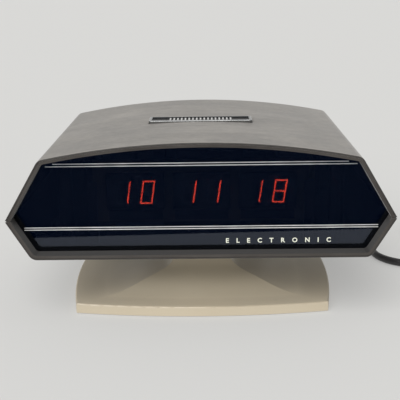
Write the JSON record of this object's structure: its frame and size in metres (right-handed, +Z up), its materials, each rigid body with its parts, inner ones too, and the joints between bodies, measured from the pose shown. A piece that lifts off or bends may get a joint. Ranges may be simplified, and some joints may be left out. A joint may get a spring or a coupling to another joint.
{
  "type": "digital clock",
  "caption": "Mains table clock with gas-discharge digits behind a smoked window, in a six-sided two-shell case on a flared pedestal, with a snooze bar.",
  "frame": {"origin": "on the table, under the middle of the case", "axes": "+X to the viewer's right along the case, -Y out of the window, +Z up"},
  "size_m": [0.325, 0.2424, 0.0994],
  "materials": {
    "case_plastic": "moulded, worn and slightly streaked",
    "window_acrylic": "smoked, glossy",
    "stripe_metal": "polished foil",
    "panel_plastic": "fine grain",
    "bar_chrome": "polished plate with light wear",
    "insert_plastic": "satin",
    "spring_steel": "plain",
    "bracket_steel": "zinc plated",
    "switch_plastic": "plain",
    "button_plastic": "gloss",
    "board_laminate": "paper laminate",
    "tube_glass": "clear",
    "tube_ceramic": "dark glaze",
    "segment_lit": "glowing neon orange",
    "segment_unlit": "dark metal film",
    "pin_metal": "tinned",
    "socket_plastic": "plain",
    "ribbon_vinyl": "plain",
    "chip_plastic": "plain",
    "resistor_body": "lacquered",
    "capacitor_can": "sleeved",
    "disc_ceramic": "dipped",
    "core_steel": "varnished",
    "winding_tape": "taped",
    "cone_paper": "felted",
    "lead_vinyl": "plain",
    "screw_steel": "zinc plated",
    "pedestal_plastic": "satin, lightly grained",
    "plate_steel": "black paint",
    "foot_rubber": "plain",
    "cord_vinyl": "satin vinyl",
    "plug_vinyl": "moulded vinyl",
    "blade_brass": "plain"
  },
  "bodies": {
    "case": {"case_bottom": "case_plastic", "case_screws": "screw_steel", "case_top": "case_plastic", "clock_chip": "chip_plastic", "cord": "cord_vinyl", "cord_coil": "cord_vinyl", "cord_tail": "cord_vinyl", "diodes": "chip_plastic", "disc_capacitors": "disc_ceramic", "display_backs": "tube_ceramic", "display_board": "board_laminate", "display_pins": "pin_metal", "display_sockets": "socket_plastic", "display_tube_hours": "tube_glass", "display_tube_minutes": "tube_glass", "display_tube_seconds": "tube_glass", "driver_transistors": "chip_plastic", "feet": "foot_rubber", "filter_capacitor": "capacitor_can", "front_window": "window_acrylic", "inner_screws": "screw_steel", "internal_leads": "lead_vinyl", "lit_segments": "segment_lit", "lower_pinstripes": "stripe_metal", "main_board": "board_laminate", "pedestal": "pedestal_plastic", "pedestal_plate": "plate_steel", "pedestal_screws": "screw_steel", "plate_screws": "screw_steel", "plug_blades": "blade_brass", "plug_body": "plug_vinyl", "push_switches": "switch_plastic", "rear_panel": "panel_plastic", "resistors": "resistor_body", "ribbon_cable": "ribbon_vinyl", "slide_switches": "switch_plastic", "snooze_bridge": "bracket_steel", "snooze_springs": "spring_steel", "snooze_switch": "switch_plastic", "speaker_basket": "bracket_steel", "speaker_clips": "bracket_steel", "speaker_cone": "cone_paper", "speaker_magnet": "core_steel", "strain_relief": "cord_vinyl", "transformer_bracket": "bracket_steel", "transformer_core": "core_steel", "transformer_winding": "winding_tape", "unlit_segments": "segment_unlit", "upper_pinstripes": "stripe_metal"},
    "snooze_key": {"snooze_bar": "bar_chrome", "snooze_insert": "insert_plastic"},
    "snooze_contact": {"snooze_plunger": "switch_plastic"},
    "fast_set_key": {"fast_set_button": "button_plastic"},
    "slow_set_key": {"slow_set_button": "button_plastic"},
    "alarm_set_key": {"alarm_set_button": "button_plastic"},
    "hold_key": {"hold_button": "button_plastic"},
    "alarm_slider": {"alarm_switch_knob": "button_plastic"},
    "format_slider": {"format_switch_knob": "button_plastic"}
  },
  "joints": [
    {"name": "snooze_press", "type": "slide", "parent": "case", "child": "snooze_key", "axis": [0, 0, 1], "range_m": [-0.0012, 0], "stiffness_N_per_m": 900, "springref_m": 0.0022, "deforming": ["snooze_springs"]},
    {"name": "snooze_contact_press", "type": "slide", "parent": "case", "child": "snooze_contact", "axis": [0, 0, 1], "range_m": [-0.0012, 0]},
    {"name": "fast_set_press", "type": "slide", "parent": "case", "child": "fast_set_key", "axis": [0, 1, 0], "range_m": [-0.0015, 0], "stiffness_N_per_m": 300, "springref_m": 0.0015},
    {"name": "slow_set_press", "type": "slide", "parent": "case", "child": "slow_set_key", "axis": [0, 1, 0], "range_m": [-0.0015, 0], "stiffness_N_per_m": 300, "springref_m": 0.0015},
    {"name": "alarm_set_press", "type": "slide", "parent": "case", "child": "alarm_set_key", "axis": [0, 1, 0], "range_m": [-0.0015, 0], "stiffness_N_per_m": 300, "springref_m": 0.0015},
    {"name": "hold_press", "type": "slide", "parent": "case", "child": "hold_key", "axis": [0, 1, 0], "range_m": [-0.0015, 0], "stiffness_N_per_m": 300, "springref_m": 0.0015},
    {"name": "alarm_switch_slide", "type": "slide", "parent": "case", "child": "alarm_slider", "axis": [1, 0, 0], "range_m": [0, 0.0044]},
    {"name": "format_switch_slide", "type": "slide", "parent": "case", "child": "format_slider", "axis": [1, 0, 0], "range_m": [0, 0.0044]}
  ],
  "couplings": [
    {"joint": "snooze_contact_press", "follows": "snooze_press", "ratio": 1}
  ]
}
